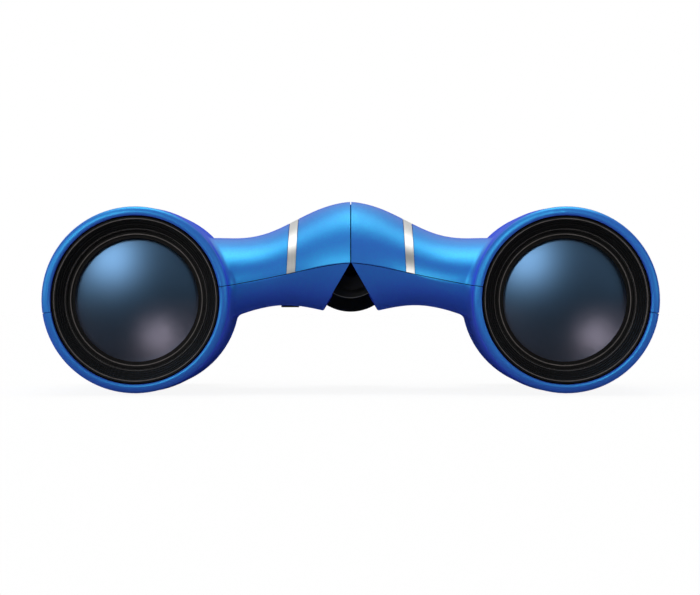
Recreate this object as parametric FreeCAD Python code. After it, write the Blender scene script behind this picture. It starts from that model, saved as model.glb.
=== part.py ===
import FreeCAD, Part
import math
import os

# Folding roof-prism binoculars, fully open and lying on the bellies of their two barrels.
# Millimetres. X runs across the two barrels, +Z is up, and the optical axes run along Y with
# the objectives at -Y. The user's left barrel is at +X and the user's right barrel at -X.
# Every piece is built for the +X half and mirrored to make its twin on the other half.

V = FreeCAD.Vector

# Layout
eye_spacing = 72.0       # between the two optical axes when fully open
fold_angle = 60.0        # how far the left half swings down about the hinge
hinge_rise = 6.3         # hinge axis above the optical axes
seam_gap = 0.09          # each half's end face to the plane through the hinge axis
fit = 0.05               # radial running clearance of a shaft or sliding tube
clear = 0.3              # clearance between pieces that pass each other
front_y = -43.5          # front of the barrel lips

# Barrel covers
wall = 1.2
lip_r = 15.6
lip_hole_r = 14.13
lip_depth = 1.6
lip_round_out = 1.0      # the lip is rounded well over outside
lip_round_in = 0.4
lip_straight = 5.0       # length behind the lip that stays a plain cylinder
belly_swell = 0.3        # how much further out the barrel bulges than its lip
belly_front_y = -18.0
belly_back_y = 12.0
cover_back_y = 22.0
cover_back_r = 12.9

# Arms that join the barrels to the hinge
hump_top = 16.75         # top of the arm at the hinge, above the optical axes
waist_top = 10.6         # top of the arm where it meets the barrel
hump_width = 18.8        # from the hinge out to the end of the hump
arch_x = 10.8            # highest point of the arch under the arm
arch_z = -0.95
arch_in = 1.5            # fall of the arch from there to the hinge
arch_fall = 2.15         # its fall over the first arch_run towards the barrel, then faster
arch_run = 10.0
nose_y = -34.5           # front of the arm at the hinge
nose_sweep = 1.9         # how much further forward it is at the barrel
nose_crest = 1.3         # and at the hinge, where the two halves meet in a low crest
nose_crest_run = 12.0
crease_top_lean = 1.8    # the front leans back from its crease at the parting line,
crease_low_lean = 1.5    # upwards and downwards, less and less towards the barrel
nose_top_run = 13.0
nose_low_run = 10.0
arm_back_y = 14.0
arm_back_drop = 1.0
arm_corner = 2.5
arm_root_in = 9.5        # the arm runs on into the barrel to this far from its axis
arm_fillet = 1.4
part_drop = 1.75         # fall of the parting line from the hinge to the trim strip
part_rise_in = 2.5       # parting line above the optical axis at the inner side of the lip
part_drop_out = 2.2      # and below it at the outer side
trim_x = 10.1
trim_width = 1.4
trim_depth = 0.6
trim_lean = 2.6
trim_gap = 0.1           # hairline groove at each side of the trim strip
parting_gap = 0.12       # hairline between the upper and the lower cover
parting_past = 4.0       # the parting line is drawn this far past the seam
tongue_y = (-21.0, -2.0) # light-tight tongue across the upper seam
tongue_reach = 0.6
tongue_inset = 0.35
tongue_gap = 0.12

# Hinge
knuckle_r = 6.0
axle_r = 3.5
axle_bore_r = 2.4
axle_front_y = -28.6
axle_back_y = 30.0
scoop_front_y = -29.4    # the arms are solid in front of this, round the hinge axis
front_knuckle = (-27.2, -21.9)
middle_knuckle = (-11.9, -1.8)
back_knuckle = (-1.5, 14.2)
web_thick = 4.0
web_inset = 0.4
nut_r = 4.6
nut_front_y = -29.0
washer_r = 5.6
washer_thick = 0.8
key_slot_width = 2.0

# Frames
tube_r = 13.9
tube_bore_r = 11.65
chamber_r = 14.4
chamber_bore_r = 13.2
chamber_front_y = -9.0
chamber_back_y = 13.5
frame_wall = 1.3
neck_r = 11.4
neck_bore_r = 10.2
neck_back_y = 26.6
rib_thick = 1.5
rib_stations = (-37.0, -28.0, 9.0)
boss_r = 2.2
cover_screw_stations = (-32.0, -10.5)
screw_r = 0.8
screw_head_r = 1.6
screw_head_thick = 0.9
screw_bite = 1.5         # how deep a screw goes into the frame behind its cover
screw_sunk = 0.5
screw_slot = 0.4
right_arm_screw_y = 4.0
right_arm_screw_proud = 0.4  # its head stands this far out of the arch

# Front rings and objectives
ring_front_y = -42.7
ring_back_y = -38.5
ring_mouth_r = 13.55
ring_throat_r = 11.85
ring_grooves = 5
ring_groove_depth = 0.22
cell_front_y = -38.0
cell_back_y = -14.0
cell_bore_r = 10.2
cell_seat_r = 10.95
lens_edge_y = -36.4      # rim of the front lens surface
crown_edge = 2.0
flint_edge = 1.8
front_curve_r = 42.0
middle_curve_r = 34.0
back_curve_r = 90.0
lens_blank = 4.0         # glass left over each rim before the faces are ground
retainer_r = 10.4
retainer_thick = 1.2

# Focusing
focus_forward = 2.0      # objectives move this far forward for the closest focus
focus_back = 0.4
focus_nut_y = (-19.0, -13.0)
focus_nut_r = 5.7
groove_floor_r = 4.4
groove_width = 1.6
fork_thick = 1.4
fork_r = 5.5
fork_half_angle = 46.0
key_width = 1.8
screw_rod_r = 1.5
screw_rod_front_y = -22.0
arm_bar_thick = 3.0
arm_bar_width = 5.0
arm_bar_start = 7.2
window_clear = 0.5
wheel_y = (15.3, 33.5)
wheel_core_r = 7.3
wheel_grip_r = 8.4
wheel_rim_r = 8.5        # plain rims at both ends of the grip
grip_inset = 0.6
grip_ribs = 36
grip_groove_depth = 0.45
clip_y = (28.9, 29.7)
clip_r = 4.8
clip_mouth = 2.4
clip_pocket_r = 5.3
cap_thick = 2.4
cap_r = 6.2
screw_cap_r = 2.6
screw_cap_thick = 0.6

# Prisms
prism_beam = 9.0
prism_width = 10.0
prism_gap = 0.25
prism_length = 1.35      # in units of the beam
holder_front_y = -7.6
holder_back_y = 12.4
holder_window_r = 5.6

# Eyepieces
ocular_r = neck_bore_r - fit
ocular_bore_r = 9.2
ocular_front_y = 14.6
ocular_back_y = 38.0
field_stop_y = 16.4
field_stop_thick = 0.8
field_stop_r = 6.5
field_lens_y = 21.0
field_front_r = 90.0     # nearly flat outer faces of the two lenses
eye_back_r = 60.0
field_lens_thick = 3.2
eye_lens_y = 31.0
eye_lens_thick = 4.6
eye_curve_r = 18.0
field_curve_r = 24.0
eye_ring_thick = 1.2
eye_ring_r = 7.6
seat_step = 0.7
diopter_y = (22.4, 27.4)
diopter_r = 13.4
diopter_flange = 0.6
diopter_ribs = 40
diopter_groove_depth = 0.35
eyecup_y = (28.5, 43.5)
eyecup_r = 14.2
eyecup_sleeve_r = 12.8   # outside of the sleeve in front of the swelling
eyecup_sleeve_run = 5.5
eyecup_swell_run = 8.0
eye_rim_round = 1.2
eyecup_wall = 1.6
eyecup_lip_r = 11.4
eyecup_floor_y = 36.6
eyecup_floor_thick = 1.5
guide_y = (28.7, 36.3)
guide_r = 11.7

# Strap lugs
lug_y = 10.0
lug_hole_out = 17.2      # hole centre from the optical axis
lug_end_r = 2.2
lug_hole_r = 1.1
lug_thick = 1.8

barrel_x = eye_spacing / 2
belly_r = lip_r + belly_swell
axis_z = belly_r
hinge_z = axis_z + hinge_rise
arm_slope = math.degrees(math.atan2(hinge_rise, barrel_x))
FAR = 80.0


def rod(r, y0, y1, x=barrel_x, z=axis_z):
    """Solid cylinder along Y, on the optical axis unless told otherwise."""
    return Part.makeCylinder(r, y1 - y0, V(x, y0, z), V(0, 1, 0))


def tube(r, bore, y0, y1, x=barrel_x, z=axis_z):
    return rod(r, y0, y1, x, z).cut(rod(bore, y0 - 1, y1 + 1, x, z))


def on_hinge(r, y0, y1):
    return rod(r, y0, y1, 0, hinge_z)


def turned(points, x=barrel_x, z=axis_z):
    """Solid of revolution about a Y line, from a closed outline of (y, radius) points."""
    outline = [V(x, y, z + r) for y, r in points]
    face = Part.Face(Part.makePolygon(outline + outline[:1]))
    return face.revolve(V(x, 0, z), V(0, 1, 0), 360)


def prism_along_y(points, y0, y1):
    """Extrusion along Y of a closed outline of (x, z) points."""
    outline = [V(x, y0, z) for x, z in points]
    face = Part.Face(Part.makePolygon(outline + outline[:1]))
    return face.extrude(V(0, y1 - y0, 0))


def joined(shapes):
    return shapes[0].multiFuse(shapes[1:]).removeSplitter()


def mirrored(shape):
    return shape.mirror(V(0, 0, 0), V(1, 0, 0))


def along_arm(x0, x1, y0, y1, thick):
    """Bar from the hinge axis towards the optical axis, sloping with the arm."""
    bar = Part.makeBox(x1 - x0, y1 - y0, thick, V(x0, y0, hinge_z - thick / 2))
    bar.rotate(V(0, 0, hinge_z), V(0, 1, 0), arm_slope)
    return bar


def half_zone(offset):
    """The left half's share of the space round the hinge: outside a vertical plane above
    the axis and outside one side of the V below it, both moved outwards by the offset."""
    lean = math.radians(fold_angle / 2)
    step = offset * (1 - math.cos(lean)) / math.sin(lean)
    corner = (offset, hinge_z + step)
    low = (offset * math.cos(lean) + FAR * math.sin(lean),
           hinge_z + offset * math.sin(lean) - FAR * math.cos(lean))
    outline = [corner, (offset, FAR), (FAR, FAR), (FAR, low[1]), low]
    return prism_along_y(outline, -FAR, FAR)


# ---------------------------------------------------------------- covers

def barrel_body(inset, y0, y1):
    """Swelling barrel, all its surfaces moved inwards by the inset."""
    straight = front_y + lip_straight
    swell = Part.BSplineCurve()
    swell.interpolate(
        Points=[V(barrel_x, straight, axis_z + lip_r - inset),
                V(barrel_x, belly_front_y, axis_z + belly_r - inset)],
        Tangents=[V(0, 1, 0), V(0, 1, 0)],
        TangentFlags=[True, True])
    tail_points = [V(barrel_x, belly_back_y, axis_z + belly_r - inset),
                   V(barrel_x, cover_back_y - inset, axis_z + cover_back_r - inset)]
    tail = Part.BSplineCurve()
    tail.interpolate(
        Points=tail_points,
        Tangents=[V(0, 1, 0), V(0, 0.8, -1)],
        TangentFlags=[True, True])
    corners = [
        V(barrel_x, y0, axis_z),
        V(barrel_x, y0, axis_z + lip_r - inset),
        V(barrel_x, straight, axis_z + lip_r - inset),
    ]
    edges = [Part.makeLine(corners[0], corners[1]), Part.makeLine(corners[1], corners[2])]
    edges.append(swell.toShape())
    edges.append(Part.makeLine(V(barrel_x, belly_front_y, axis_z + belly_r - inset), tail_points[0]))
    edges.append(tail.toShape())
    edges.append(Part.makeLine(tail_points[1], V(barrel_x, y1, axis_z)))
    edges.append(Part.makeLine(V(barrel_x, y1, axis_z), corners[0]))
    face = Part.Face(Part.Wire(edges))
    return face.revolve(V(barrel_x, 0, axis_z), V(0, 1, 0), 360)


def quarter(start, corner, end):
    """Quarter ellipse from start to end, tangent to the two sides of the corner."""
    curve = Part.BezierCurve()
    curve.setPoles([start, corner, end])
    curve.setWeight(2, math.sqrt(0.5))
    return curve.toShape()


def ease(share):
    """Smooth step from 0 to 1 with level ends."""
    return (1 - math.cos(math.pi * min(abs(share), 1.0))) / 2


def arm_section(x, inset):
    """Outline of the arm in a YZ plane: long rounded nose creased at the parting line, flat
    top and bottom, small back corners."""
    top = axis_z + hump_top + (waist_top - hump_top) * ease(x / hump_width) - inset
    low = axis_z + arch_z + inset
    if x < arch_x:
        low -= arch_in * ease(1 - abs(x) / arch_x)
    else:
        low -= arch_fall * ((x - arch_x) / arch_run) ** 2
    lip_x = barrel_x - lip_r
    sweep = ease(x / lip_x)
    nose = nose_y - nose_sweep * sweep + inset
    if x < nose_crest_run:
        nose -= nose_crest * (1 - x / nose_crest_run) ** 2
    lean_top = crease_top_lean * (1 - sweep)
    lean_low = crease_low_lean * (1 - sweep)
    back = arm_back_y - inset
    mid = hinge_z + (axis_z + part_rise_in - hinge_z) * sweep
    corner = arm_corner - inset
    fall = arm_back_drop

    def at(y, z):
        return V(x, y, z)

    edges = [
        quarter(at(nose, mid), at(nose + lean_top, top), at(nose + nose_top_run, top)),
        Part.makeLine(at(nose + nose_top_run, top), at(back - corner, top - fall)),
        quarter(at(back - corner, top - fall), at(back, top - fall), at(back, top - fall - corner)),
        Part.makeLine(at(back, top - fall - corner), at(back, low + corner)),
        quarter(at(back, low + corner), at(back, low), at(back - corner, low)),
        Part.makeLine(at(back - corner, low), at(nose + nose_low_run, low)),
        quarter(at(nose + nose_low_run, low), at(nose + lean_low, low), at(nose, mid)),
    ]
    return Part.Wire(edges)


def arm_body(inset):
    count = 7
    root = barrel_x - arm_root_in
    stations = [root * (n - 0.5) / (count - 0.5) for n in range(count + 1)]
    return Part.makeLoft([arm_section(x, inset) for x in stations], True, False)


def parting_zone(above):
    """Everything above, or below, the parting line of the covers."""
    line = [
        V(-parting_past, -FAR, hinge_z),
        V(0, -FAR, hinge_z),
        V(trim_x, -FAR, hinge_z - part_drop),
        V(barrel_x - lip_r, -FAR, axis_z + part_rise_in),
        V(barrel_x, -FAR, axis_z),
        V(barrel_x + lip_r, -FAR, axis_z - part_drop_out),
        V(FAR, -FAR, axis_z - part_drop_out * (FAR - barrel_x) / lip_r),
    ]
    curve = Part.BSplineCurve()
    curve.interpolate(line)
    edge = curve.toShape()
    limit = FAR if above else -FAR
    ends = [V(line[-1].x, -FAR, limit), V(line[0].x, -FAR, limit)]
    wire = Part.Wire([
        edge,
        Part.makeLine(line[-1], ends[0]),
        Part.makeLine(ends[0], ends[1]),
        Part.makeLine(ends[1], line[0]),
    ])
    return Part.Face(wire).extrude(V(0, 2 * FAR, 0))


def outer_half():
    barrel = barrel_body(0, front_y, cover_back_y)
    arm = arm_body(0)
    both = barrel.fuse(arm)
    seam = [e for e in both.Edges if on_both(e, barrel, arm)]
    try:
        both = both.makeFillet(arm_fillet, seam)
    except Exception as why:
        print("arm fillet left out:", why)
    return both.common(half_zone(seam_gap))


def on_both(edge, one, other):
    """True for an edge of the joint line between two fused solids."""
    a, b = edge.ParameterRange
    for share in (0.25, 0.5, 0.75):
        vertex = Part.Vertex(edge.valueAt(a + (b - a) * share))
        if one.Shells[0].distToShape(vertex)[0] > 1e-3:
            return False
        if other.Shells[0].distToShape(vertex)[0] > 1e-3:
            return False
    return True


def barrel_cavity():
    inside = barrel_body(wall, front_y + lip_depth, cover_back_y - wall)
    mouth = rod(lip_hole_r, front_y - 1, front_y + lip_depth + 1)
    neck_hole = rod(neck_r, cover_back_y - wall - 1, cover_back_y + 1)
    return joined([inside, mouth, neck_hole])


def arm_cavity():
    inside = arm_body(wall).common(half_zone(seam_gap + wall))
    return inside.cut(on_hinge(knuckle_r + clear + wall, -FAR, FAR))


def cover_shell():
    """Both covers of a half in one piece, open at the lip, at the neck and round the hinge."""
    shell = outer_half().cut(barrel_cavity()).cut(arm_cavity())
    shell = shell.cut(on_hinge(knuckle_r + clear, scoop_front_y, FAR))
    for edge_r, rounding in ((lip_r, lip_round_out), (lip_hole_r, lip_round_in)):
        shell = shell.makeFillet(rounding, [e for e in shell.Edges if is_lip_edge(e, edge_r)])
    window = along_arm(0, barrel_x, focus_nut_y[0] - focus_forward - window_clear,
                       focus_nut_y[1] + focus_back + window_clear, arm_bar_thick + 2 * window_clear)
    near_hinge = on_hinge(knuckle_r + clear + 2 * wall, -FAR, FAR)
    return shell.cut(window.common(near_hinge))


def is_lip_edge(edge, r):
    """A circle of this radius on the front face of the lip."""
    box = edge.BoundBox
    return box.YMax < front_y + 0.01 and abs(box.ZLength - 2 * r) < 0.1


def trim_band(width):
    band = Part.makeBox(width, 2 * FAR, FAR, V(trim_x - width / 2, -FAR, 0))
    band.rotate(V(trim_x, 0, hinge_z - part_drop), V(0, 1, 0), -trim_lean)
    skin = arm_body(0).cut(arm_body(trim_depth))
    strip = band.common(skin).common(parting_zone(True))
    return max(strip.Solids, key=lambda s: s.Volume)


def seam_tongue(grow):
    """Thin tongue that reaches across the upper seam, or with a growth the groove it lies in."""
    y0, y1 = tongue_y
    slab = Part.makeBox(tongue_reach + seam_gap + 2 * grow, y1 - y0 + 2 * grow, FAR,
                        V(-tongue_reach - grow, y0 - grow, hinge_z))
    slab = slab.common(arm_body(tongue_inset - grow))
    return slab.cut(on_hinge(knuckle_r + clear, -FAR, FAR))


# ---------------------------------------------------------------- frames

def frame_body(knuckles, bore):
    """Chassis of a half: front tube, prism chamber, eyepiece neck, ribs that carry the
    covers, screw bosses, and the hinge knuckles on their webs."""
    solid = [
        rod(tube_r, ring_back_y, chamber_front_y + frame_wall),
        rod(chamber_r, chamber_front_y, chamber_back_y + frame_wall),
        rod(neck_r, chamber_back_y, neck_back_y),
    ]
    cavity = barrel_cavity()
    for y in rib_stations:
        solid.append(rod(belly_r + 1, y, y + rib_thick).common(cavity))
    for y in cover_screw_stations:
        boss = Part.makeCylinder(boss_r, axis_z, V(barrel_x, y, 0))
        solid.append(boss.common(cavity))
    inside = rod(tube_bore_r + 0.5, -FAR, FAR)
    for y0, y1 in knuckles:
        web = along_arm(0, barrel_x, y0 + web_inset, y1 - web_inset, web_thick)
        y_end = min(y1 - web_inset, arm_back_y - wall - 0.2)
        web = web.common(Part.makeBox(FAR, y_end - y0, FAR, V(-1, y0, 0)))
        solid.append(web.cut(inside))
        solid.append(on_hinge(knuckle_r, y0, y1))
    body = joined(solid)
    body = body.cut(rod(tube_bore_r, -FAR, chamber_front_y + frame_wall + 1))
    body = body.cut(rod(chamber_bore_r, chamber_front_y + frame_wall, chamber_back_y))
    body = body.cut(rod(neck_bore_r, chamber_back_y - 1, FAR))
    body = body.cut(on_hinge(bore, -FAR, FAR))
    slot = along_arm(arm_bar_start, barrel_x, *slot_span(), arm_bar_thick + 2 * window_clear)
    return body.cut(slot)


def slot_span():
    """Where the focus arm passes the frame tube, over its whole travel."""
    mid = sum(focus_nut_y) / 2
    return (mid - arm_bar_width / 2 - focus_forward - window_clear,
            mid + arm_bar_width / 2 + focus_back + window_clear)


def cover_screws(arm_screw_y, proud):
    """Screws driven up into the bosses under the barrel, and one under the arm."""
    screws = []
    for y in cover_screw_stations:
        screws.append(screw_up(barrel_x, y, axis_z - belly_r + screw_sunk, axis_z - tube_r))
    web_low = hinge_z - hinge_rise * arch_x / barrel_x - web_thick / 2
    screws.append(screw_up(arch_x, arm_screw_y, axis_z + arch_z - proud, web_low))
    return screws


def screw_up(x, y, z, seat_z):
    """Screw with its head at z, driven up into the frame, whose face is at seat_z."""
    head = Part.makeCylinder(screw_head_r, screw_head_thick, V(x, y, z))
    shank = Part.makeCylinder(screw_r, seat_z + screw_bite - z, V(x, y, z))
    slot = Part.makeBox(2 * screw_head_r, screw_slot, screw_slot,
                        V(x - screw_head_r, y - screw_slot / 2, z))
    return head.fuse(shank).cut(slot)


def screw_room(screw):
    """Hole that a screw leaves in a cover: straight down from its head."""
    box = screw.BoundBox
    x = (box.XMin + box.XMax) / 2
    y = (box.YMin + box.YMax) / 2
    hole = Part.makeCylinder(screw_head_r, screw_head_thick + FAR, V(x, y, box.ZMin - FAR))
    return hole.fuse(screw)


def strap_lug():
    """Eyelet plate on the outer side, anchored in the wall of the prism chamber."""
    z = axis_z - part_drop_out
    x_hole = barrel_x + lug_hole_out
    plate = Part.makeBox(lug_hole_out, 2 * lug_end_r, lug_thick,
                         V(barrel_x, lug_y - lug_end_r, z - lug_thick / 2))
    end = Part.makeCylinder(lug_end_r, lug_thick, V(x_hole, lug_y, z - lug_thick / 2))
    hole = Part.makeCylinder(lug_hole_r, lug_thick + 2, V(x_hole, lug_y, z - lug_thick))
    lug = plate.fuse(end).removeSplitter().cut(hole)
    return lug.cut(rod(chamber_r, -FAR, FAR))


# ---------------------------------------------------------------- objectives

def front_ring():
    """Screwed-in ring with a grooved cone inside its mouth."""
    cone = ring_back_y - ring_front_y - 1.0
    points = [(ring_front_y, tube_r), (ring_back_y, tube_r), (ring_back_y, ring_throat_r),
              (ring_back_y - 0.6, ring_throat_r)]
    step = cone / ring_grooves
    for n in range(ring_grooves):
        y = ring_back_y - 0.6 - n * step
        r = ring_throat_r + (ring_mouth_r - ring_throat_r) * n / ring_grooves
        points.append((y - step * 0.5, r + ring_groove_depth * 0.4))
        points.append((y - step * 0.5, r + ring_groove_depth + 0.2))
        points.append((y - step, r + (ring_mouth_r - ring_throat_r) / ring_grooves))
    points.append((ring_front_y, ring_mouth_r))
    return turned(points)


def lens(edge_y, thick, rim_r, front_r, back_r):
    """Round lens from its front rim back; a positive radius bulges to the front (-Y) on the
    front face and to the back on the back face, a negative one hollows it."""
    body = rod(rim_r, edge_y - lens_blank, edge_y + thick + lens_blank)
    body = body.cut(cap_side(edge_y, rim_r, front_r, -1))
    return body.cut(cap_side(edge_y + thick, rim_r, back_r, 1))


def cap_side(rim_y, rim_r, curve_r, way):
    """What lies beyond a spherical lens face whose rim is at rim_y, on the way side."""
    size = abs(curve_r)
    bulge = size - math.sqrt(size * size - rim_r * rim_r)
    beyond = rod(rim_r + 1, rim_y - FAR, rim_y) if way < 0 else rod(rim_r + 1, rim_y, rim_y + FAR)
    if curve_r > 0:
        ball = Part.makeSphere(size, V(barrel_x, rim_y + way * (bulge - size), axis_z))
        return beyond.cut(ball)
    ball = Part.makeSphere(size, V(barrel_x, rim_y + way * (size - bulge), axis_z))
    return beyond.fuse(ball)


def objective_cell():
    cell = rod(tube_bore_r - fit, cell_front_y, cell_back_y)
    cell = cell.cut(rod(cell_bore_r, -FAR, FAR))
    seat_back = lens_edge_y + crown_edge + flint_edge
    cell = cell.cut(rod(cell_seat_r, -FAR, seat_back)).cut(flint_lens())
    return cell.cut(focus_arm())


def objective_retainer():
    """Threaded ring that holds the lenses; its back face is cut to the front lens."""
    ring = tube(cell_seat_r, retainer_r, lens_edge_y - retainer_thick, lens_edge_y + 0.2)
    return ring.cut(crown_lens())


def crown_lens():
    return lens(lens_edge_y, crown_edge, cell_seat_r, front_curve_r, middle_curve_r)


def flint_lens():
    return lens(lens_edge_y + crown_edge, flint_edge, cell_seat_r, -middle_curve_r, back_curve_r)


def focus_arm():
    """Fork that rides in the groove of the focus nut, on a bar keyed into the cell."""
    mid = sum(focus_nut_y) / 2
    plate = on_hinge(fork_r, mid - fork_thick / 2, mid + fork_thick / 2)
    plate = plate.cut(on_hinge(groove_floor_r + fit, -FAR, FAR))
    reach = math.radians(fork_half_angle)
    wedge = prism_along_y([(0, hinge_z), (FAR * math.cos(reach), hinge_z + FAR * math.sin(reach)),
                           (FAR * math.cos(reach), hinge_z - FAR * math.sin(reach))], -FAR, FAR)
    wedge.rotate(V(0, 0, hinge_z), V(0, 1, 0), arm_slope)
    plate = plate.common(wedge)
    stem = along_arm(groove_floor_r + 0.4, arm_bar_start + 1, mid - fork_thick / 2,
                     mid + fork_thick / 2, arm_bar_thick)
    bar = along_arm(arm_bar_start, barrel_x, mid - arm_bar_width / 2, mid + arm_bar_width / 2,
                    arm_bar_thick)
    bar = bar.cut(rod(cell_seat_r, -FAR, FAR))
    return joined([plate, stem, bar])


# ---------------------------------------------------------------- prisms

def front_prism():
    """Half-penta prism: entry face at the front, slanted face to the back."""
    a = prism_beam
    end = prism_length * a
    outline = [(0, 0), (0, a), (end, a + end * math.tan(math.radians(22.5))), (end, end)]
    return prism_solid(outline)


def roof_prism():
    """Roof prism behind the slanted face, its ridge at the bottom and exit face at the back."""
    a = prism_beam
    end = prism_length * a
    gap = prism_gap
    low = -0.2 * a
    side = (end - low) * math.sqrt(2)
    outline = [(end, end - gap), (end, end - side), (low, low - gap)]
    body = prism_solid(outline)
    return body


def prism_solid(outline):
    """Extrudes a prism outline, given in the plane of its reflections, across the barrel."""
    y0 = holder_front_y + frame_wall
    z0 = axis_z - prism_beam / 2
    points = [V(barrel_x - prism_width / 2, y0 + y, z0 + z) for y, z in outline]
    face = Part.Face(Part.makePolygon(points + points[:1]))
    solid = face.extrude(V(prism_width, 0, 0))
    return solid.common(rod(chamber_bore_r - 0.6, -FAR, FAR))


def prism_holder():
    body = rod(chamber_bore_r, holder_front_y, holder_back_y)
    body = body.cut(front_prism()).cut(roof_prism())
    a = prism_beam
    slit = prism_solid([(-0.2 * a, -0.2 * a - prism_gap), (prism_length * a, prism_length * a - prism_gap),
                        (prism_length * a, prism_length * a), (0, 0)])
    body = body.cut(slit)
    window = rod(holder_window_r, holder_front_y - 1, holder_front_y + frame_wall + 0.2)
    window = window.fuse(rod(holder_window_r, holder_front_y + frame_wall + prism_length * a - 0.2,
                             holder_back_y + 1))
    body = body.cut(window)
    return max(body.Solids, key=lambda s: s.Volume)


# ---------------------------------------------------------------- eyepieces

def ocular_tube():
    outline = rod(ocular_r, ocular_front_y, ocular_back_y)
    body = outline.cut(rod(ocular_bore_r - seat_step, -FAR, FAR))
    body = body.cut(rod(ocular_bore_r, -FAR, field_lens_y + field_lens_thick))
    body = body.cut(rod(ocular_bore_r, eye_lens_y, FAR))
    return body.cut(field_lens()).cut(eye_lens())


def field_stop():
    return tube(ocular_bore_r, field_stop_r, field_stop_y, field_stop_y + field_stop_thick)


def field_lens():
    return lens(field_lens_y, field_lens_thick, ocular_bore_r, field_front_r, field_curve_r)


def eye_lens():
    return lens(eye_lens_y, eye_lens_thick, ocular_bore_r, eye_curve_r, eye_back_r)


def eye_retainer():
    start = eye_lens_y + eye_lens_thick
    ring = tube(ocular_bore_r, eye_ring_r, start - 0.5, start + eye_ring_thick)
    return ring.cut(eye_lens())


def ribbed_ring(r, bore, y0, y1, count, depth, x=barrel_x, z=axis_z):
    """Ring with straight ribs along Y, as on a rubber grip."""
    points = []
    for n in range(count):
        for share, radius in ((0.0, r), (0.5, r), (0.6, r - depth), (0.9, r - depth)):
            turn = 2 * math.pi * (n + share) / count
            points.append((x + radius * math.sin(turn), z + radius * math.cos(turn)))
    return prism_along_y(points, y0, y1).cut(rod(bore, y0 - 1, y1 + 1, x, z))


def eyepiece_ring():
    """Ribbed ring round the neck, with a flange behind the neck's end."""
    y0, y1 = diopter_y
    ring = ribbed_ring(diopter_r, neck_r + fit, y0, y1, diopter_ribs, diopter_groove_depth)
    flange = tube(diopter_r - diopter_groove_depth - 0.4, ocular_r + 0.15, y1 - diopter_flange, y1)
    return ring.fuse(flange).removeSplitter()


def eyepiece_collar():
    """Fixed twin of the ribbed ring, pressed onto the neck of the other eyepiece."""
    y0, y1 = diopter_y
    ring = ribbed_ring(diopter_r, neck_r, y0, y1, diopter_ribs, diopter_groove_depth)
    flange = tube(diopter_r - diopter_groove_depth - 0.4, ocular_r + 0.15, y1 - diopter_flange, y1)
    return ring.fuse(flange).removeSplitter()


def eyecup_guide():
    y0, y1 = guide_y
    return tube(guide_r, ocular_r + fit, y0, y1)


def eyecup():
    """Rubber cup: a sleeve round its guide, a floor behind it and a rounded eye rim."""
    y0, y1 = eyecup_y
    inner = eyecup_r - eyecup_wall
    points = [
        (y0, guide_r + fit), (y0, eyecup_sleeve_r), (y0 + eyecup_sleeve_run, eyecup_sleeve_r + 0.4),
        (y0 + eyecup_swell_run, eyecup_r), (y1 - eye_rim_round, eyecup_r),
        (y1 - 0.3 * eye_rim_round, eyecup_r - 0.3 * eye_rim_round),
        (y1, eyecup_r - eye_rim_round), (y1 - 0.3 * eye_rim_round, inner - 0.4),
        (y1 - 1.4 * eye_rim_round, inner - 0.8),
        (eyecup_floor_y + eyecup_floor_thick, eyecup_lip_r),
        (eyecup_floor_y + eyecup_floor_thick, ocular_r + 0.3),
        (eyecup_floor_y, ocular_r + 0.3), (eyecup_floor_y, guide_r + fit),
    ]
    return turned(points)


# ---------------------------------------------------------------- hinge and focusing

def hinge_axle():
    """Hollow axle; the key of the focus nut slides in its two long slots."""
    body = on_hinge(axle_r, axle_front_y, axle_back_y).cut(on_hinge(axle_bore_r, -FAR, FAR))
    y0 = focus_nut_y[0] - focus_forward - window_clear
    y1 = focus_nut_y[1] + focus_back + window_clear
    slot = Part.makeBox(key_slot_width, y1 - y0, 4 * axle_r,
                        V(-key_slot_width / 2, y0, hinge_z - 2 * axle_r))
    return body.cut(slot)


def hinge_nut():
    ring = on_hinge(nut_r, nut_front_y, front_knuckle[0])
    return ring.cut(on_hinge(axle_r, axle_front_y, FAR)).cut(on_hinge(axle_bore_r, -FAR, FAR))


def friction_washer():
    y0 = back_knuckle[1]
    return on_hinge(washer_r, y0, y0 + washer_thick).cut(on_hinge(axle_r, -FAR, FAR))


def focus_nut():
    y0, y1 = focus_nut_y
    mid = (y0 + y1) / 2
    core = on_hinge(axle_bore_r - 0.1, y0, y1)
    ring = on_hinge(focus_nut_r, y0, y1).cut(on_hinge(axle_r + 0.1, -FAR, FAR))
    key = Part.makeBox(key_width, y1 - y0, 2 * (axle_r + 0.5),
                       V(-key_width / 2, y0, hinge_z - axle_r - 0.5))
    groove = on_hinge(FAR, mid - groove_width / 2, mid + groove_width / 2)
    groove = groove.cut(on_hinge(groove_floor_r, -FAR, FAR))
    body = joined([core, ring, key]).cut(groove)
    return body.cut(on_hinge(screw_rod_r + fit, -FAR, FAR))


def focus_screw():
    rod_part = on_hinge(screw_rod_r, screw_rod_front_y, wheel_y[1])
    head = on_hinge(screw_cap_r, wheel_y[1], wheel_y[1] + screw_cap_thick)
    slot = Part.makeBox(2 * screw_cap_r, 0.3, 0.6, V(-screw_cap_r, wheel_y[1] + 0.3, hinge_z - 0.3))
    return rod_part.fuse(head).cut(slot)


def wheel_core():
    y0, y1 = wheel_y
    body = on_hinge(wheel_core_r, y0, y1).fuse(on_hinge(wheel_rim_r, y0, y0 + grip_inset))
    body = body.fuse(on_hinge(wheel_rim_r, y1 - grip_inset, y1)).removeSplitter()
    body = body.cut(on_hinge(axle_r + fit, -FAR, clip_y[0]))
    body = body.cut(on_hinge(clip_pocket_r, clip_y[0] - clear, FAR))
    return body.cut(on_hinge(cap_r, y1 - cap_thick, FAR))


def wheel_grip():
    y0, y1 = wheel_y
    return ribbed_ring(wheel_grip_r, wheel_core_r, y0 + grip_inset, y1 - grip_inset, grip_ribs,
                       grip_groove_depth, 0, hinge_z)


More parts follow.
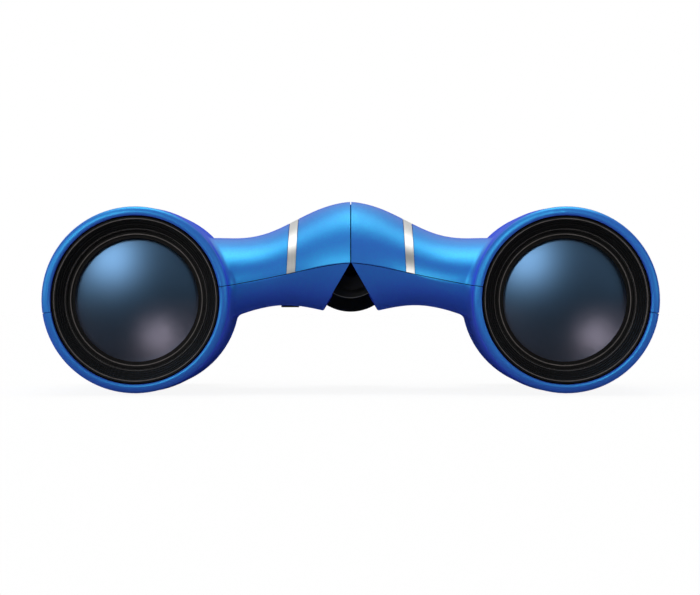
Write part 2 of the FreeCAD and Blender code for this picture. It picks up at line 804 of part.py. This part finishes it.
def wheel_cap():
    return on_hinge(cap_r, wheel_y[1] - cap_thick, wheel_y[1]).cut(on_hinge(screw_rod_r, -FAR, FAR))


def wheel_clip():
    y0, y1 = clip_y
    ring = on_hinge(clip_r, y0, y1).cut(on_hinge(axle_r, -FAR, FAR))
    mouth = Part.makeBox(clip_mouth, y1 - y0, clip_r + clear, V(-clip_mouth / 2, y0, hinge_z))
    return ring.cut(mouth)


# ---------------------------------------------------------------- output

def build():
    pieces = {}
    frames = {
        "left": frame_body([middle_knuckle], axle_r + fit),
        "right": frame_body([front_knuckle, back_knuckle], axle_r),
    }
    arm_screws = {
        "left": (sum(middle_knuckle) / 2, 0.0),
        "right": (right_arm_screw_y, right_arm_screw_proud),
    }
    shell = cover_shell()
    trim = trim_band(trim_width)
    trim_room = trim_band(trim_width + 2 * trim_gap)
    tongue = seam_tongue(0)
    groove = mirrored(seam_tongue(tongue_gap))
    lug = strap_lug()
    above = parting_zone(True)
    below = parting_zone(False)
    below.translate(V(0, 0, -parting_gap))
    shared = {
        "front_ring": front_ring(),
        "objective_cell": objective_cell(),
        "crown_lens": crown_lens(),
        "flint_lens": flint_lens(),
        "objective_retainer": objective_retainer(),
        "focus_arm": focus_arm(),
        "prism_holder": prism_holder(),
        "front_prism": front_prism(),
        "roof_prism": roof_prism(),
        "ocular_tube": ocular_tube(),
        "field_stop": field_stop(),
        "field_lens": field_lens(),
        "eye_lens": eye_lens(),
        "eye_retainer": eye_retainer(),
        "eyecup_guide": eyecup_guide(),
        "eyecup": eyecup(),
        "strap_lug": lug,
        "trim_strip": trim,
    }
    for side in ("left", "right"):
        frame = frames[side]
        screws = cover_screws(*arm_screws[side])
        frame = frame.cut(lug)
        for screw in screws:
            frame = frame.cut(screw)
        covers = shell.copy().cut(frame).cut(lug)   # a copy, since cuts touch the shell's own edges
        for screw in screws:
            covers = covers.cut(screw_room(screw))
        half = dict(shared)
        half["frame"] = frame
        upper = covers.common(above).cut(trim_room)
        upper = upper.fuse(tongue).removeSplitter() if side == "left" else upper.cut(groove)
        half["upper_cover"] = upper
        half["lower_cover"] = covers.common(below)
        half["cover_screws"] = Part.makeCompound(screws)
        for name, shape in half.items():
            pieces[side + "_" + name] = shape if side == "left" else mirrored(shape)
    pieces["right_diopter_ring"] = mirrored(eyepiece_ring())
    pieces["left_eyepiece_collar"] = eyepiece_collar()
    pieces["hinge_axle"] = hinge_axle()
    pieces["hinge_nut"] = hinge_nut()
    pieces["friction_washer"] = friction_washer()
    pieces["focus_nut"] = focus_nut()
    pieces["focus_screw"] = focus_screw()
    pieces["focus_wheel_core"] = wheel_core()
    pieces["focus_wheel_grip"] = wheel_grip()
    pieces["focus_wheel_cap"] = wheel_cap()
    pieces["wheel_clip"] = wheel_clip()
    return pieces


def main():
    os.makedirs("parts", exist_ok=True)
    for name, shape in build().items():
        print(name, "solids", len(shape.Solids), "valid", shape.isValid(), "volume %.1f" % shape.Volume)
        shape.exportStep("parts/%s.step" % name)


main()
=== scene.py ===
import math

import bmesh
import bpy
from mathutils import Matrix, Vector


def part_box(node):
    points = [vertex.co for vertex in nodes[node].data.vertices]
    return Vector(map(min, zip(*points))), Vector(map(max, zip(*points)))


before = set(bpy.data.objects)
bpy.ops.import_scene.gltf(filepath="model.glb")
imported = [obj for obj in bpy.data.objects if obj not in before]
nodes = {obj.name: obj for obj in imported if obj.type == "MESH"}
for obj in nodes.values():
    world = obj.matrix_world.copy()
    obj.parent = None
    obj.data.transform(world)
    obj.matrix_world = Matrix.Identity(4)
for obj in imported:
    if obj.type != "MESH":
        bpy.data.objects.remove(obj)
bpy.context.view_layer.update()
scene = bpy.context.scene

# ------------------------------------------------------------------ camera
# A long lens, level with the barrels and square on to the objectives. It stands off from
# the front face of the lips, at the height of the barrels' axes.

ring_low, ring_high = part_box("left_front_ring")
barrel_x = (ring_low[0] + ring_high[0]) / 2
barrel_z = (ring_low[2] + ring_high[2]) / 2
front_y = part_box("left_upper_cover")[0][1]
camera_distance = 0.650
camera_aside = -0.00012
camera_above = 0.00039

camera_data = bpy.data.cameras.new("camera")
camera_data.sensor_width = 36.0
camera_data.lens = 200.7
camera_data.clip_start = 0.05
camera_data.clip_end = 20.0
camera = bpy.data.objects.new("camera", camera_data)
camera.location = (camera_aside, front_y - camera_distance, barrel_z + camera_above)
camera.rotation_euler = (math.radians(90), 0, 0)
scene.collection.objects.link(camera)
scene.camera = camera
scene.view_settings.view_transform = "Standard"

# ------------------------------------------------------------------ studio light
# Soft light all round, made in the world: a softbox overhead, a broad one ahead on the left
# with a small bright one below it, a weak fill ahead on the right, and light from the walls
# at both sides and at the back. What lies behind the object is white.


class Val:
    """A node's output socket that can be used in ordinary arithmetic."""

    def __init__(self, tree, socket):
        self.tree = tree
        self.socket = socket

    def maths(self, operation, *others, turned=False):
        """Adds a Math node on this value and the others, in the other order if turned."""
        node = self.tree.nodes.new("ShaderNodeMath")
        node.operation = operation
        values = (*others, self) if turned else (self, *others)
        for slot, value in zip(node.inputs, values):
            if isinstance(value, Val):
                self.tree.links.new(value.socket, slot)
            else:
                slot.default_value = value
        return Val(self.tree, node.outputs[0])

    def __add__(self, other):
        return self.maths("ADD", other)

    __radd__ = __add__

    def __sub__(self, other):
        return self.maths("SUBTRACT", other)

    def __rsub__(self, other):
        return self.maths("SUBTRACT", other, turned=True)

    def __mul__(self, other):
        return self.maths("MULTIPLY", other)

    __rmul__ = __mul__

    def __truediv__(self, other):
        return self.maths("DIVIDE", other)

    def __pow__(self, other):
        return self.maths("POWER", other)


class Finish:
    """The node tree of one material or world, filled one call at a time."""

    def __init__(self, data):
        data.use_nodes = True
        self.data = data
        self.tree = data.node_tree
        self.tree.nodes.clear()

    def node(self, kind, settings=None, out=0, **inputs):
        """Adds a node: settings first, then values or links by socket name or _number.
        Returns the output named by out, or a tuple of them."""
        node = self.tree.nodes.new("ShaderNode" + kind)
        for name, value in (settings or {}).items():
            setattr(node, name, value)
        for name, value in inputs.items():
            slot = node.inputs[int(name[1:]) if name[0] == "_" else name.replace("_", " ")]
            if isinstance(value, Val):
                self.tree.links.new(value.socket, slot)
            elif slot.type == "RGBA":
                slot.default_value = (*value, 1)
            else:
                slot.default_value = value
        if isinstance(out, tuple):
            return tuple(Val(self.tree, node.outputs[name]) for name in out)
        return Val(self.tree, node.outputs[out]) if node.outputs else None


world = bpy.data.worlds.new("studio")
scene.world = world
studio = Finish(world)
way = studio.node("TexCoord", out="Generated")
way_x, way_y, way_z = studio.node("SeparateXYZ", out=("X", "Y", "Z"), Vector=way)


def soft_lamp(aim, spread, power):
    """Light from one side of the room, bright at its middle and fading over the spread."""
    x, y, z = Vector(aim).normalized()
    away = (way_x - x) ** 2 + (way_y - y) ** 2 + (way_z - z) ** 2
    return power * (away / (-2 * spread * spread)).maths("EXPONENT")


dimness = 0.05
overhead = soft_lamp((0.0, 0.22, 0.97), spread=0.24, power=3.4)
softbox = soft_lamp((-0.42, -0.72, 0.55), spread=0.26, power=1.0)
bright_spot = soft_lamp((-0.25, -0.91, 0.33), spread=0.11, power=3.6)
right_fill = soft_lamp((0.45, -0.72, 0.50), spread=0.30, power=0.16)
right_wall = soft_lamp((0.90, -0.40, 0.05), spread=0.30, power=0.8)
left_wall = soft_lamp((-0.95, -0.30, 0.10), spread=0.30, power=1.1)
back_wall = soft_lamp((0.0, 0.80, 0.50), spread=0.40, power=0.7)
room = dimness + overhead + softbox + bright_spot + right_fill + right_wall + left_wall + back_wall

is_camera, is_glossy, is_through = studio.node(
    "LightPath", out=("Is Camera Ray", "Is Glossy Ray", "Is Transmission Ray"))
behind = studio.node("MapRange", {"interpolation_type": "SMOOTHSTEP"},
                     Value=way_y, From_Min=0.975, From_Max=0.995)
white = (is_camera + is_through + is_glossy * behind).maths("MINIMUM", 1.0)
strength = room * (1 - white) + white
studio.node("OutputWorld", Surface=studio.node("Background", Color=(1, 1, 1), Strength=strength))

# ------------------------------------------------------------------ table top
# Pale matt board that the binoculars lie on. To the camera it is a thin white veil that
# takes their shadow and lets a half that is folded down past it show through. Light and
# sight from below pass it freely.

board_reach = 3.0
veil_clear = 0.8
veil_glow = 0.3
mirror_dark = 0.95

board_mesh = bpy.data.meshes.new("board")
grid = bmesh.new()
bmesh.ops.create_grid(grid, x_segments=1, y_segments=1, size=board_reach)
grid.to_mesh(board_mesh)
grid.free()
board = bpy.data.objects.new("board", board_mesh)
scene.collection.objects.link(board)

pale = Finish(bpy.data.materials.new("pale_board"))
fleck = pale.node("TexNoise", Vector=pale.node("TexCoord", out="Object"), Scale=400, Detail=3)
card = pale.node("MixRGB", Fac=fleck, Color1=(0.78, 0.78, 0.78), Color2=(0.86, 0.86, 0.86))
seen, shadow, mirrored, through = pale.node(
    "LightPath", out=("Is Camera Ray", "Is Shadow Ray", "Is Glossy Ray", "Is Transmission Ray"))
# To mirror rays the board is nearly black. This is painted shade that keeps the covers' undersides
# dark in their reflections.
card = pale.node("MixRGB", Fac=mirrored * mirror_dark, Color1=card, Color2=(0.015, 0.015, 0.015))
matt = pale.node("BsdfDiffuse", Color=card)
glow = pale.node("Emission", Color=(1, 1, 1), Strength=2.0)
lit = pale.node("MixShader", _0=seen * veil_glow + through * veil_glow, _1=matt, _2=glow)
below = pale.node("NewGeometry", out="Backfacing")
clear = pale.node("BsdfTransparent", Color=(1, 1, 1))
pale.node("OutputMaterial", Surface=pale.node(
    "MixShader", _0=seen * veil_clear + shadow + below, _1=lit, _2=clear))
board_mesh.materials.append(pale.data)

# ------------------------------------------------------------------ blue covers
# Two moulded shells to a half, sprayed with a pearl lacquer: a navy ground, a coat full of
# blue flake that mirrors the room softly, and a satin clear coat over both. Seen edge on,
# the flake and the gloss give way to the ground.

flop_power = 7.0
clear_coat = 0.35
clear_coat_roughness = 0.22


def dress(finish, *names):
    """Gives the named pieces a finish."""
    for name in names:
        mesh = nodes[name].data
        mesh.materials.clear()
        mesh.materials.append(finish.data)
        for face in mesh.polygons:
            face.use_smooth = True


def both(*names):
    """The names of the left and the right piece of each kind."""
    return [side + "_" + name for side in ("left", "right") for name in names]


lacquer = Finish(bpy.data.materials.new("blue_pearl_lacquer"))
spot = lacquer.node("TexCoord", out="Object")
flake = lacquer.node("TexVoronoi", out="Color", Vector=spot, Scale=7000)
sparkle = lacquer.node("SeparateColor", Color=flake)
cloud = lacquer.node("TexNoise", Vector=spot, Scale=90, Detail=3)
peel = lacquer.node("TexNoise", Vector=spot, Scale=1300, Detail=2)
scuff = lacquer.node("TexNoise", Vector=spot, Scale=500, Detail=8, Roughness=0.7)
scuffed = lacquer.node("MapRange", Value=scuff, From_Min=0.60, From_Max=0.72)
flake_blue = lacquer.node("MixRGB", Fac=sparkle * 0.6 + cloud * 0.4,
                          Color1=(0.0025, 0.60, 0.92), Color2=(0.0035, 0.70, 1.0))
navy = lacquer.node("MixRGB", Fac=cloud, Color1=(0.066, 0.135, 1.0), Color2=(0.074, 0.150, 1.0))
ripple = lacquer.node("Bump", Strength=0.25, Distance=0.00001, Height=peel + sparkle * 0.15)
edge_on = lacquer.node("LayerWeight", out="Facing", Blend=0.5)
flop = edge_on ** flop_power
gloss = clear_coat * (1 - flop)
pearl = lacquer.node("BsdfPrincipled", Base_Color=flake_blue, Metallic=1.0,
                     Roughness=0.36 + scuffed * 0.1, Coat_Weight=gloss,
                     Coat_Roughness=clear_coat_roughness, Normal=ripple)
ground = lacquer.node("BsdfPrincipled", Base_Color=navy, Roughness=0.45,
                      Specular_IOR_Level=0.0, Coat_Weight=gloss,
                      Coat_Roughness=clear_coat_roughness, Normal=ripple)
share = (0.36 + sparkle * 0.08) * (1 - flop)
lacquer.node("OutputMaterial", Surface=lacquer.node("MixShader", _0=share, _1=ground, _2=pearl))
dress(lacquer, *both("upper_cover", "lower_cover"))

# ------------------------------------------------------------------ silver strips
# Thin pressed strips of satin stainless steel, brushed round the arm and glued into
# their grooves.

satin = Finish(bpy.data.materials.new("satin_steel_strip"))
spot = satin.node("TexCoord", out="Object")
brushed = satin.node("Mapping", Vector=spot, Scale=(9000, 300, 300))
hair = satin.node("TexNoise", Vector=brushed, Scale=1.0, Detail=4)
steel = satin.node("MixRGB", Fac=hair, Color1=(0.80, 0.80, 0.78), Color2=(0.95, 0.95, 0.92))
grain = satin.node("Bump", Strength=0.15, Distance=0.00001, Height=hair)
satin.node("OutputMaterial", Surface=satin.node(
    "BsdfPrincipled", Base_Color=steel, Metallic=1.0, Roughness=0.28 + hair * 0.12,
    Normal=grain))
dress(satin, *both("trim_strip"))

# ------------------------------------------------------------------ objective mounts
# Turned aluminium, anodised black: the grooved ring in the mouth of each lip, the sliding
# cell behind it and the thread ring over the lens. Pale lines painted at their turned edges are
# painted highlights.

barrels = (("left", barrel_x), ("right", -barrel_x))
thread_pitch = 0.00022
# Radii of the mount edges that get a painted highlight line.
mount_highlight_radii = (0.01355, 0.01185, 0.01105)


def radius_about(finish, spot, x, z):
    """Distance from an axis that runs from front to back through x and z."""
    spot_x, spot_z = finish.node("SeparateXYZ", out=("X", "Z"), Vector=spot)
    return ((spot_x - x) ** 2 + (spot_z - z) ** 2) ** 0.5


def edge_line(finish, radius, edge, faded_past, full_within):
    """Mask of a painted highlight line at an edge of that radius: 1 out to the nearer of the two
    distances from it, and 0 past the farther.
    """
    near = (radius - edge).maths("ABSOLUTE")
    return finish.node("MapRange", Value=near, From_Min=faded_past, From_Max=full_within)


def turned_black(name, x, edges):
    """Black anodising on pieces turned about the barrel axis at x; edges lists the radii,
    in metres, of edges painted paler as highlights."""
    black = Finish(bpy.data.materials.new(name))
    spot = black.node("TexCoord", out="Object")
    radius = radius_about(black, spot, x, barrel_z)
    thread = (radius * (2 * math.pi / thread_pitch)).maths("SINE")
    stain = black.node("TexNoise", Vector=spot, Scale=400, Detail=5)
    # Pale, half-metallic lines at the listed edges are painted highlights, made stronger or
    # fainter by the stain noise.
    edge_highlight = 0.0
    for edge in edges:
        edge_highlight = edge_line(black, radius, edge, faded_past=0.00010, full_within=0.00003) + edge_highlight
    edge_highlight = edge_highlight * (stain * 0.8 + 0.4)
    skin = black.node("MixRGB", Fac=stain,
                      Color1=(0.0025, 0.0025, 0.0028), Color2=(0.0060, 0.0056, 0.0054))
    tone = black.node("MixRGB", Fac=edge_highlight, Color1=skin, Color2=(0.32, 0.29, 0.28))
    lines = black.node("Bump", Strength=0.20, Distance=0.00002, Height=thread)
    black.node("OutputMaterial", Surface=black.node(
        "BsdfPrincipled", Base_Color=tone, Metallic=edge_highlight * 0.5,
        Roughness=0.30 + stain * 0.16, Specular_IOR_Level=0.25, Normal=lines))
    return black


for side, x in barrels:
    mount = turned_black("anodised_objective_" + side, x, mount_highlight_radii)
    for part in ("front_ring", "objective_cell", "objective_retainer"):
        dress(mount, side + "_" + part)

# ------------------------------------------------------------------ objective lenses
# A cemented pair in each cell. The front face has a steel-blue coating that mirrors the
# lights at the upper left; the hollow face inside the pair sends a weak mauve image back
# from the lower right. All else in the tube is black.

coating_cover = 0.66
cement_gap = 0.00003

coated = Finish(bpy.data.materials.new("coated_front_lens"))
inside, facing = coated.node("NewGeometry", out=("Backfacing", "True Normal"))
forward = coated.node("SeparateXYZ", out="Y", Vector=facing).maths("LESS_THAN", 0.0)
spot = coated.node("TexCoord", out="Object")
uneven = coated.node("TexNoise", Vector=spot, Scale=120, Detail=2)
blue_coat = coated.node("MixRGB", Fac=uneven,
                        Color1=(0.155, 0.32, 0.56), Color2=(0.175, 0.36, 0.62))
coated.node("OutputMaterial", Surface=coated.node(
    "BsdfPrincipled", Base_Color=blue_coat, Metallic=1.0, Roughness=0.275,
    Alpha=coating_cover * forward * (1 - inside)))
dress(coated, *both("crown_lens"))

cemented = Finish(bpy.data.materials.new("cemented_lens_face"))
spot = cemented.node("TexCoord", out="Object")
depth = cemented.node("TexNoise", Vector=spot, Scale=80, Detail=1)
tunnel = cemented.node("MixRGB", Fac=depth,
                       Color1=(0.145, 0.128, 0.165), Color2=(0.165, 0.146, 0.185))
cemented.node("OutputMaterial", Surface=cemented.node(
    "BsdfPrincipled", Base_Color=tunnel, Metallic=1.0, Roughness=0.16))
dress(cemented, *both("flint_lens"))
for name in both("flint_lens"):
    shrink = nodes[name].modifiers.new("cement_gap", "DISPLACE")
    shrink.mid_level = 0.0
    shrink.strength = -cement_gap

# ------------------------------------------------------------------ chassis
# Glass-filled black plastic: the two chassis with their hinge knuckles, whose rims carry a
# painted highlight, and the holders that keep the prisms.

hinge_z = sum(corner[2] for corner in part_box("hinge_axle")) / 2
knuckle_radius = 0.0060

chassis = Finish(bpy.data.materials.new("black_moulded_plastic"))
spot = chassis.node("TexCoord", out="Object")
spark = chassis.node("TexNoise", Vector=spot, Scale=3500, Detail=4)
haze = chassis.node("TexNoise", Vector=spot, Scale=150, Detail=3)
soot = chassis.node("MixRGB", Fac=haze,
                    Color1=(0.0045, 0.0045, 0.0045), Color2=(0.0085, 0.0083, 0.008))
radius = radius_about(chassis, spot, 0.0, hinge_z)
# A paler line painted round the knuckle rims is a painted highlight.
knuckle_highlight = edge_line(chassis, radius, knuckle_radius, faded_past=0.00016, full_within=0.00006)
soot = chassis.node("MixRGB", Fac=knuckle_highlight * (haze * 0.8 + 0.4),
                    Color1=soot, Color2=(0.26, 0.25, 0.24))
erosion = chassis.node("Bump", Strength=0.3, Distance=0.00002, Height=spark)
chassis.node("OutputMaterial", Surface=chassis.node(
    "BsdfPrincipled", Base_Color=soot, Roughness=0.5 + haze * 0.15, Normal=erosion))
dress(chassis, *both("frame", "prism_holder"))

# ------------------------------------------------------------------ hinge and small steel
# The spring washer of the hinge is bright turned steel. The axle and its nut, the focus
# screw and its nut, the clip that keeps the wheel on, the strap lugs, the focus arms and
# the small screws are blackened.

turning_pitch = 0.00018

turned = Finish(bpy.data.materials.new("turned_steel"))
spot = turned.node("TexCoord", out="Object")
spot_y = turned.node("SeparateXYZ", out="Y", Vector=spot)
cut = (spot_y * (2 * math.pi / turning_pitch)).maths("SINE")
oil = turned.node("TexNoise", Vector=spot, Scale=250, Detail=4)
bright = turned.node("MixRGB", Fac=oil, Color1=(0.40, 0.40, 0.41), Color2=(0.58, 0.58, 0.58))
turned.node("OutputMaterial", Surface=turned.node(
    "BsdfPrincipled", Base_Color=bright, Metallic=1.0, Roughness=0.25 + oil * 0.2,
    Normal=turned.node("Bump", Strength=0.3, Distance=0.00002, Height=cut)))
dress(turned, "friction_washer")

blackened = Finish(bpy.data.materials.new("blackened_steel"))
spot = blackened.node("TexCoord", out="Object")
bloom = blackened.node("TexNoise", Vector=spot, Scale=700, Detail=6)
burnt = blackened.node("MixRGB", Fac=bloom,
                       Color1=(0.012, 0.012, 0.013), Color2=(0.035, 0.034, 0.033))
blackened.node("OutputMaterial", Surface=blackened.node(
    "BsdfPrincipled", Base_Color=burnt, Metallic=0.9, Roughness=0.34 + bloom * 0.2,
    Normal=blackened.node("Bump", Strength=0.2, Distance=0.00001, Height=bloom)))
dress(blackened, "hinge_axle", "hinge_nut", "focus_screw", "focus_nut", "wheel_clip",
      *both("cover_screws", "strap_lug", "focus_arm"))

# ------------------------------------------------------------------ focus wheel
# Black moulded core with smooth rims and a coin-slot cap, gripped through a ribbed sleeve
# of fine-grained rubber. The diopter ring and the eyecups are of the same rubber.

rim_inner = 0.0083
rim_outer = 0.0085

rubber = Finish(bpy.data.materials.new("black_grained_rubber"))
spot = rubber.node("TexCoord", out="Object")
pimple = rubber.node("TexVoronoi", Vector=spot, Scale=2600)
dust = rubber.node("TexNoise", Vector=spot, Scale=350, Detail=6)
dusted = rubber.node("MapRange", Value=dust, From_Min=0.45, From_Max=0.75)
carbon = rubber.node("MixRGB", Fac=dusted * 0.6,
                     Color1=(0.009, 0.009, 0.0095), Color2=(0.030, 0.030, 0.031))
rubber.node("OutputMaterial", Surface=rubber.node(
    "BsdfPrincipled", Base_Color=carbon, Roughness=0.62 + dusted * 0.15,
    Normal=rubber.node("Bump", Strength=0.35, Distance=0.00004, Height=1 - pimple)))
dress(rubber, "focus_wheel_grip", "right_diopter_ring", *both("eyecup"))

wheel = Finish(bpy.data.materials.new("black_wheel_plastic"))
spot = wheel.node("TexCoord", out="Object")
radius = radius_about(wheel, spot, 0.0, hinge_z)
handled = wheel.node("TexNoise", Vector=spot, Scale=300, Detail=5)
rim = wheel.node("MapRange", Value=radius, From_Min=rim_inner, From_Max=rim_outer)
ink = wheel.node("MixRGB", Fac=handled,
                 Color1=(0.006, 0.006, 0.006), Color2=(0.012, 0.012, 0.0115))
tone = wheel.node("MixRGB", Fac=rim * 0.5, Color1=ink, Color2=(0.05, 0.048, 0.045))
wheel.node("OutputMaterial", Surface=wheel.node(
    "BsdfPrincipled", Base_Color=tone, Roughness=0.38 + handled * 0.2,
    Normal=wheel.node("Bump", Strength=0.15, Distance=0.00001, Height=handled)))
dress(wheel, "focus_wheel_core", "focus_wheel_cap")

# ------------------------------------------------------------------ eyepieces
# Anodised ocular tubes with their stops and rings, coated eye lenses, and the collar and
# the click guides that the rubber eyecups turn on.

# Radii of the ocular edges that get a painted highlight line.
ocular_highlight_radii = (0.0092, 0.0102)

for side, x in barrels:
    tube = turned_black("anodised_eyepiece_" + side, x, ocular_highlight_radii)
    for part in ("ocular_tube", "field_stop", "eye_retainer", "eyecup_guide"):
        dress(tube, side + "_" + part)
    if side == "left":
        dress(tube, "left_eyepiece_collar")

eye_glass = Finish(bpy.data.materials.new("coated_eye_lens"))
spot = eye_glass.node("TexCoord", out="Object")
uneven = eye_glass.node("TexNoise", Vector=spot, Scale=150, Detail=2)
violet = eye_glass.node("MixRGB", Fac=uneven,
                        Color1=(0.004, 0.004, 0.010), Color2=(0.007, 0.006, 0.014))
eye_glass.node("OutputMaterial", Surface=eye_glass.node(
    "BsdfPrincipled", Base_Color=violet, Roughness=0.04, IOR=1.8,
    Specular_Tint=(0.55, 0.62, 1.0)))
dress(eye_glass, *both("eye_lens", "field_lens"))

# ------------------------------------------------------------------ prisms
# Blocks of ground optical glass, frosted in places, which the holders keep in the chambers
# of the chassis. The covers hide them.

prism = Finish(bpy.data.materials.new("prism_glass"))
spot = prism.node("TexCoord", out="Object")
frost = prism.node("TexNoise", Vector=spot, Scale=600, Detail=4)
greenish = prism.node("MixRGB", Fac=frost, Color1=(0.70, 0.80, 0.80), Color2=(0.85, 0.92, 0.92))
prism.node("OutputMaterial", Surface=prism.node(
    "BsdfPrincipled", Base_Color=greenish, Roughness=0.05 + frost * 0.1,
    Transmission_Weight=0.9, IOR=1.57))
dress(prism, *both("front_prism", "roof_prism"))
